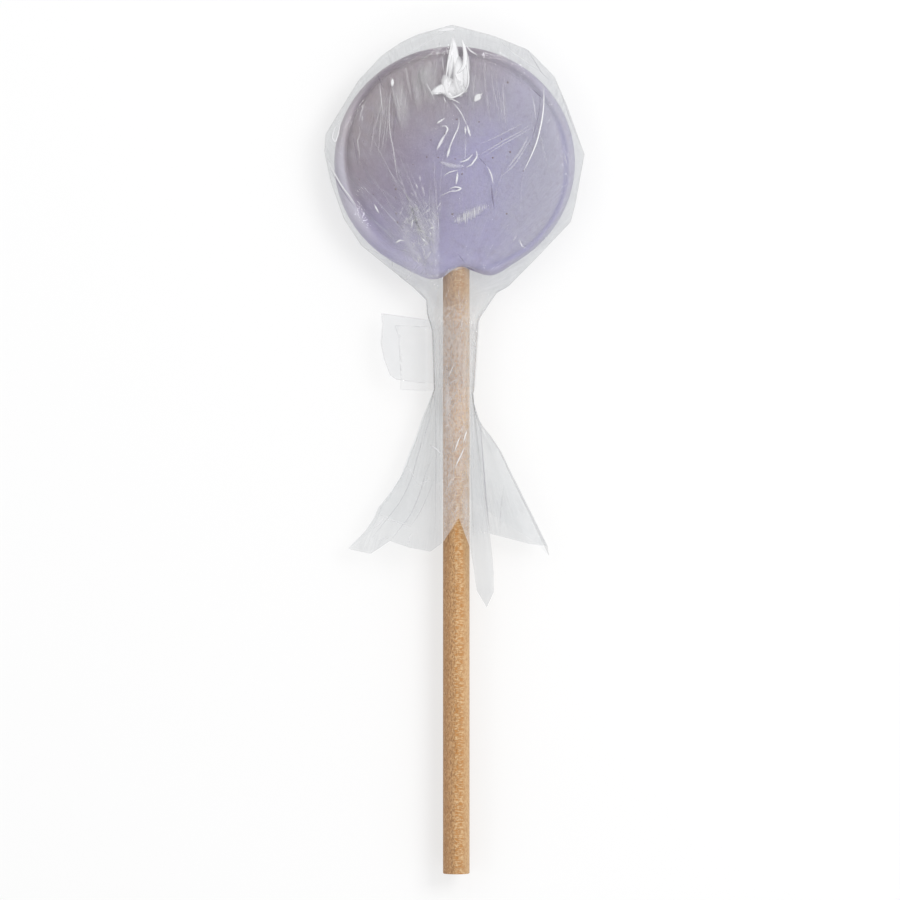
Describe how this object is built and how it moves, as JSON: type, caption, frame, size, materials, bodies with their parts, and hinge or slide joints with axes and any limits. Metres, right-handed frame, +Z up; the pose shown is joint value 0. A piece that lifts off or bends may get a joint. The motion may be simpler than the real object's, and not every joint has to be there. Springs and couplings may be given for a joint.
{
  "type": "lollipop",
  "caption": "Round hard-candy lollipop on a wooden dowel, in clear film gathered round the stick and held by clear tape, lying down.",
  "frame": {"origin": "middle of the footprint, on the surface the lollipop lies on", "axes": "+Y along the stick, from its free end towards the candy; +Z up, out of the shown face; +X to the right of the shown face"},
  "size_m": [0.062, 0.2026, 0.0124],
  "materials": {
    "candy": "pale lilac hard candy, slightly translucent, smooth and glossy",
    "stick": "bare beech-like dowel with fine dark pores along the grain",
    "film": "thin clear film, crinkled and glossy",
    "tape": "clear adhesive tape, smooth"
  },
  "bodies": {
    "root": {"candy": "candy", "stick": "stick", "film": "film", "tape": "tape"}
  },
  "joints": []
}
